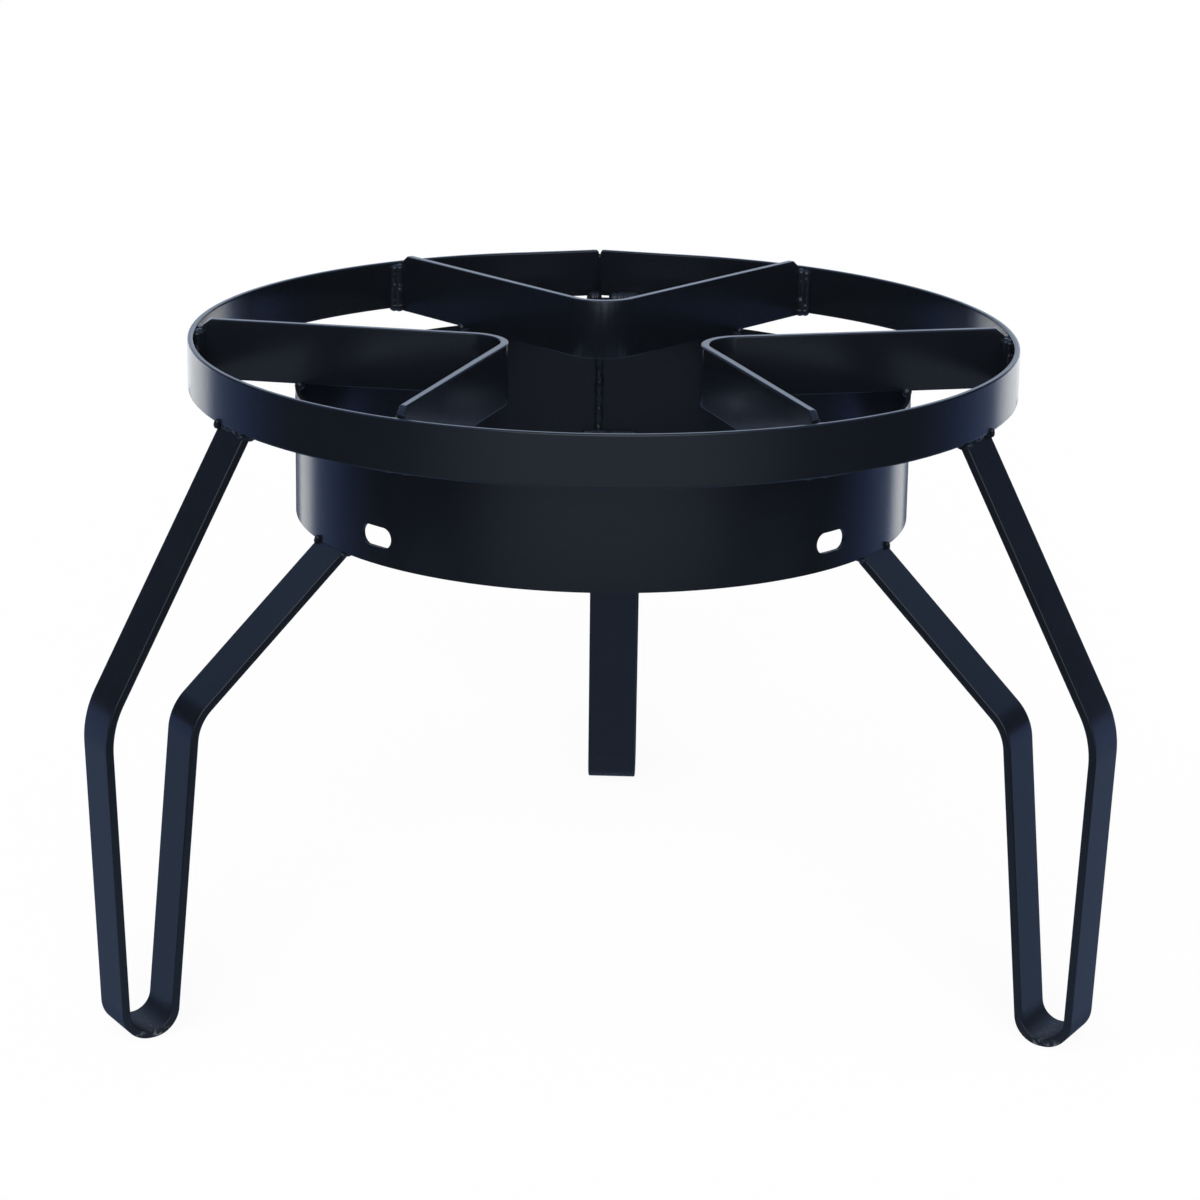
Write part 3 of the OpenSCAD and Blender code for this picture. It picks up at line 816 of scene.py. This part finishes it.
class STAND_OT_stage(bpy.types.Operator):
    """Set up the pale floor, the studio light and the camera"""
    bl_idname = "stand.stage"
    bl_label = "Studio"

    def execute(self, context):
        stage = context.scene.stand_stage
        self.make_floor(stage)
        self.make_backdrop()
        self.make_world(context.scene)
        self.make_lamps()
        self.make_camera(context.scene, stage)
        context.scene.view_settings.view_transform = "Standard"
        return {"FINISHED"}

    def make_floor(self, stage):
        """A round floor of white paper, just under the feet."""
        reach, sides, under = 14.0, 64, -0.0002
        rim = [(reach * math.cos(2 * math.pi * i / sides),
                reach * math.sin(2 * math.pi * i / sides), under) for i in range(sides)]
        mesh = bpy.data.meshes.new("studio_floor")
        mesh.from_pydata(rim, [], [list(range(sides))])
        floor = new_mesh_object("studio_floor", mesh)
        # Matt calendered paper, which gives the eye an even white with a soft shadow
        paper, add = blank_material("pale_studio_paper")
        place = add("ShaderNodeTexCoord").outputs["Object"]
        fibre = add("ShaderNodeTexNoise", {"Vector": place, "Scale": 30.0})
        tone = add("ShaderNodeMix", {
            "Factor": fibre, "A": (*stage.floor_colour, 1.0), "B": hex_linear("#fafafa")},
            data_type="RGBA")
        matt = add("ShaderNodeBsdfDiffuse", {"Color": tone})
        glow = add("ShaderNodeEmission", {"Strength": 1.055})
        seen = add("ShaderNodeMixShader", [0.88, matt, glow])
        rays = add("ShaderNodeLightPath").outputs
        both = add("ShaderNodeMixShader", [rays["Is Camera Ray"], matt, seen])
        # Gloss sees near the stand a pale blue glow painted on the paper, a painted reflection of
        # lit paper, and the studio of the world beyond it. The glow reaches further towards the
        # front, where it turns darker as painted shade of the dark room.
        side = add("ShaderNodeSeparateXYZ", [place]).outputs["Y"]
        before = add("ShaderNodeMapRange", {
            "Value": side, "From Min": -0.25, "From Max": -0.55},
            interpolation_type="SMOOTHSTEP")
        limit = add("ShaderNodeMath", [before, 0.20, 0.85], operation="MULTIPLY_ADD")
        away = add("ShaderNodeVectorMath", [place], operation="LENGTH")
        used = add("ShaderNodeMath", [away, limit], operation="DIVIDE")
        ended = add("ShaderNodeMapRange", {
            "Value": used, "From Min": 0.8}, interpolation_type="SMOOTHSTEP")
        shade = add("ShaderNodeMix", {
            "Factor": before, "A": hex_linear("#7186ab"), "B": hex_linear("#2a3140")},
            data_type="RGBA")
        near = add("ShaderNodeEmission", {"Color": shade, "Strength": 0.9})
        beyond = add("ShaderNodeBsdfTransparent")
        mirrored = add("ShaderNodeMixShader", [ended, near, beyond])
        all_rays = add("ShaderNodeMixShader", [rays["Is Glossy Ray"], both, mirrored])
        add("ShaderNodeOutputMaterial", {"Surface": all_rays})
        mesh.materials.append(paper)

    def make_backdrop(self):
        """A low dim card that stands well behind the stand. Only gloss on the front of the
        stand sees it, in place of the white room: the camera looks through it."""
        back, half, high = 0.345, 0.315, 0.20
        mesh = bpy.data.meshes.new("studio_backdrop")
        mesh.from_pydata([(-half, back, 0.0), (half, back, 0.0), (half, back, high),
                          (-half, back, high)], [], [(0, 1, 2, 3)])
        backdrop = new_mesh_object("studio_backdrop", mesh)
        # A card that glows a dim blue grey and that only reflections show: a painted reflection,
        # one even dim band on the gloss of the stand
        card, add = blank_material("dim_grey_card")
        dim = add("ShaderNodeEmission", {"Color": hex_linear("#5f6e8a")})
        clear = add("ShaderNodeBsdfTransparent")
        behind = add("ShaderNodeNewGeometry").outputs["Backfacing"]
        one_sided = add("ShaderNodeMixShader", [behind, dim, clear])
        add("ShaderNodeOutputMaterial", {"Surface": one_sided})
        mesh.materials.append(card)
        for kind in ("camera", "diffuse", "transmission", "volume_scatter", "shadow"):
            setattr(backdrop, "visible_" + kind, False)

    def make_world(self, scene):
        """White for the camera, plain light for matt surfaces, and for gloss a studio: a
        white backdrop behind the stand and a dim room in front of it."""
        world = scene.world or bpy.data.worlds.new("studio")
        scene.world = world
        world.use_nodes = True
        world.node_tree.nodes.clear()
        add = partial(add_node, world.node_tree)
        way = add("ShaderNodeTexCoord").outputs["Generated"]
        height = add("ShaderNodeSeparateXYZ", [way]).outputs["Z"]
        # Shades from the sides of the room to the middle of its back: of the sweep under the
        # horizon, and of the wall above it
        inwards = add("ShaderNodeVectorMath", [way, (0, 1, 0)], operation="DOT_PRODUCT")
        sweep = ((0.05, "#1a2130"), (0.25, "#2e3f62"), (0.40, "#425380"), (0.52, "#526290"),
                 (0.60, "#596b90"), (0.66, "#5d6c91"), (0.70, "#7786aa"), (0.735, "#c4d2ea"),
                 (0.77, "#f6faff"))
        wall = ((0.50, "#1a2130"), (0.75, "#4a5a7a"), (0.90, "#b9c6dc"))
        shades = []
        for stops in (sweep, wall):
            made = add("ShaderNodeValToRGB", {"Fac": inwards})
            ramp = made.color_ramp
            ramp.interpolation = "EASE"
            for place, shade in stops:
                ramp.elements.new(place).color = hex_linear(shade)
            ramp.elements.remove(ramp.elements[0])
            ramp.elements.remove(ramp.elements[-1])
            shades.append(made)
        horizon = add("ShaderNodeMapRange", {
            "Value": height, "From Min": -0.03, "From Max": 0.06},
            interpolation_type="SMOOTHSTEP")
        behind = add("ShaderNodeMix", {
            "Factor": horizon, "A": shades[0], "B": shades[1]}, data_type="RGBA")
        # A wide dim window low in front
        to_window = add("ShaderNodeVectorMath", [
            way, Vector((0, -1, -0.26)).normalized()], operation="DOT_PRODUCT")
        window = add("ShaderNodeMapRange", {
            "Value": to_window, "From Min": math.cos(math.radians(58))},
            interpolation_type="SMOOTHSTEP")
        front = add("ShaderNodeMix", {
            "Factor": window, "A": behind, "B": hex_linear("#788495")}, data_type="RGBA")
        # A pale blue ceiling
        skylight = add("ShaderNodeMapRange", {
            "Value": height, "From Min": 0.28, "From Max": 0.7}, interpolation_type="SMOOTHSTEP")
        roof = add("ShaderNodeMix", {
            "Factor": skylight, "A": front, "B": hex_linear("#6f86ad")}, data_type="RGBA")
        # A softbox high in front, which only rounded edges and beads can mirror
        to_box = add("ShaderNodeVectorMath", [
            way, Vector((0, -0.8, 0.6)).normalized()], operation="DOT_PRODUCT")
        box = add("ShaderNodeMapRange", {
            "Value": to_box, "From Min": math.cos(math.radians(36)),
            "From Max": math.cos(math.radians(22))}, interpolation_type="SMOOTHSTEP")
        lit_room = add("ShaderNodeMix", {
            "Factor": box, "A": roof, "B": (0.85, 0.92, 1.05, 1.0)}, data_type="RGBA")
        studio = add("ShaderNodeBackground", {"Color": lit_room, "Strength": 1.6})
        plain = add("ShaderNodeBackground", {"Color": (1, 1, 1, 1), "Strength": 0.22})
        white = add("ShaderNodeBackground", {"Color": (1, 1, 1, 1)})
        rays = add("ShaderNodeLightPath").outputs
        gloss = add("ShaderNodeMath", [
            rays["Is Glossy Ray"], rays["Is Transmission Ray"]], operation="MAXIMUM")
        lit = add("ShaderNodeMixShader", [gloss, plain, studio])
        seen = add("ShaderNodeMixShader", [rays["Is Camera Ray"], lit, white])
        add("ShaderNodeOutputWorld", {"Surface": seen})

    def make_lamps(self):
        """Two large soft lamps: one overhead, and a stronger one beside the camera. Gloss
        sees the studio of the world in their place."""
        for name, energy, pitch, roll in (("ceiling_softbox", 0.6, 24, -14),
                                          ("front_softbox", 2.3, 74, 0)):
            lamp = bpy.data.lights.new(name, "SUN")
            lamp.angle = math.radians(50)
            lamp.energy = energy
            hung = bpy.data.objects.new(name, lamp)
            hung.rotation_euler = (math.radians(pitch), math.radians(roll), 0)
            hung.visible_glossy = False
            bpy.context.scene.collection.objects.link(hung)

    def make_camera(self, scene, stage):
        pitch, yaw, roll = stage.pitch, stage.yaw, stage.roll
        ahead = Vector((math.sin(yaw) * math.cos(pitch), math.cos(yaw) * math.cos(pitch),
                        -math.sin(pitch)))
        right = Vector((math.cos(yaw), -math.sin(yaw), 0.0))
        up = right.cross(ahead)
        leant_right = math.cos(roll) * right + math.sin(roll) * up
        leant_up = -math.sin(roll) * right + math.cos(roll) * up
        turn = Matrix((leant_right, leant_up, -ahead)).transposed().to_4x4()
        camera = bpy.data.cameras.new("camera")
        camera.lens = stage.lens
        camera.sensor_width = 36.0
        camera.sensor_fit = "HORIZONTAL"
        camera.clip_end = 60.0
        placed = bpy.data.objects.new("camera", camera)
        placed.matrix_world = Matrix.Translation(Vector(stage.eye)) @ turn
        scene.collection.objects.link(placed)
        scene.camera = placed


class STAND_PT_panel(bpy.types.Panel):
    """Buttons and settings of the burner stand"""
    bl_idname = "STAND_PT_panel"
    bl_label = "Burner Stand"
    bl_space_type = "VIEW_3D"
    bl_region_type = "UI"
    bl_category = "Burner Stand"

    def draw(self, context):
        layout = self.layout
        for operator in OPERATORS:
            layout.operator(operator.bl_idname)
        for title, name, kind in GROUPS:
            box = layout.box()
            box.label(text=title)
            settings = getattr(context.scene, name)
            for key in kind.__annotations__:
                box.prop(settings, key)


OPERATORS = (STAND_OT_top_hoop, STAND_OT_wind_shroud, STAND_OT_pot_supports, STAND_OT_legs,
             STAND_OT_seam_welds, STAND_OT_support_welds, STAND_OT_shroud_welds,
             STAND_OT_leg_welds, STAND_OT_stage)
GROUPS = (("Coat", "stand_coat", StandCoat), ("Bars", "stand_bars", StandBars),
          ("Legs", "stand_legs", StandLegs), ("Welds", "stand_welds", StandWelds),
          ("Studio", "stand_stage", StandStage))


def register():
    for _, name, kind in GROUPS:
        bpy.utils.register_class(kind)
        setattr(bpy.types.Scene, name, PointerProperty(type=kind))
    for operator in OPERATORS:
        bpy.utils.register_class(operator)
    bpy.utils.register_class(STAND_PT_panel)


def unregister():
    bpy.utils.unregister_class(STAND_PT_panel)
    for operator in reversed(OPERATORS):
        bpy.utils.unregister_class(operator)
    for _, name, kind in reversed(GROUPS):
        delattr(bpy.types.Scene, name)
        bpy.utils.unregister_class(kind)


def main():
    register()
    for operator in OPERATORS:
        group, name = operator.bl_idname.split(".")
        getattr(getattr(bpy.ops, group), name)()


if __name__ == "__main__":
    main()
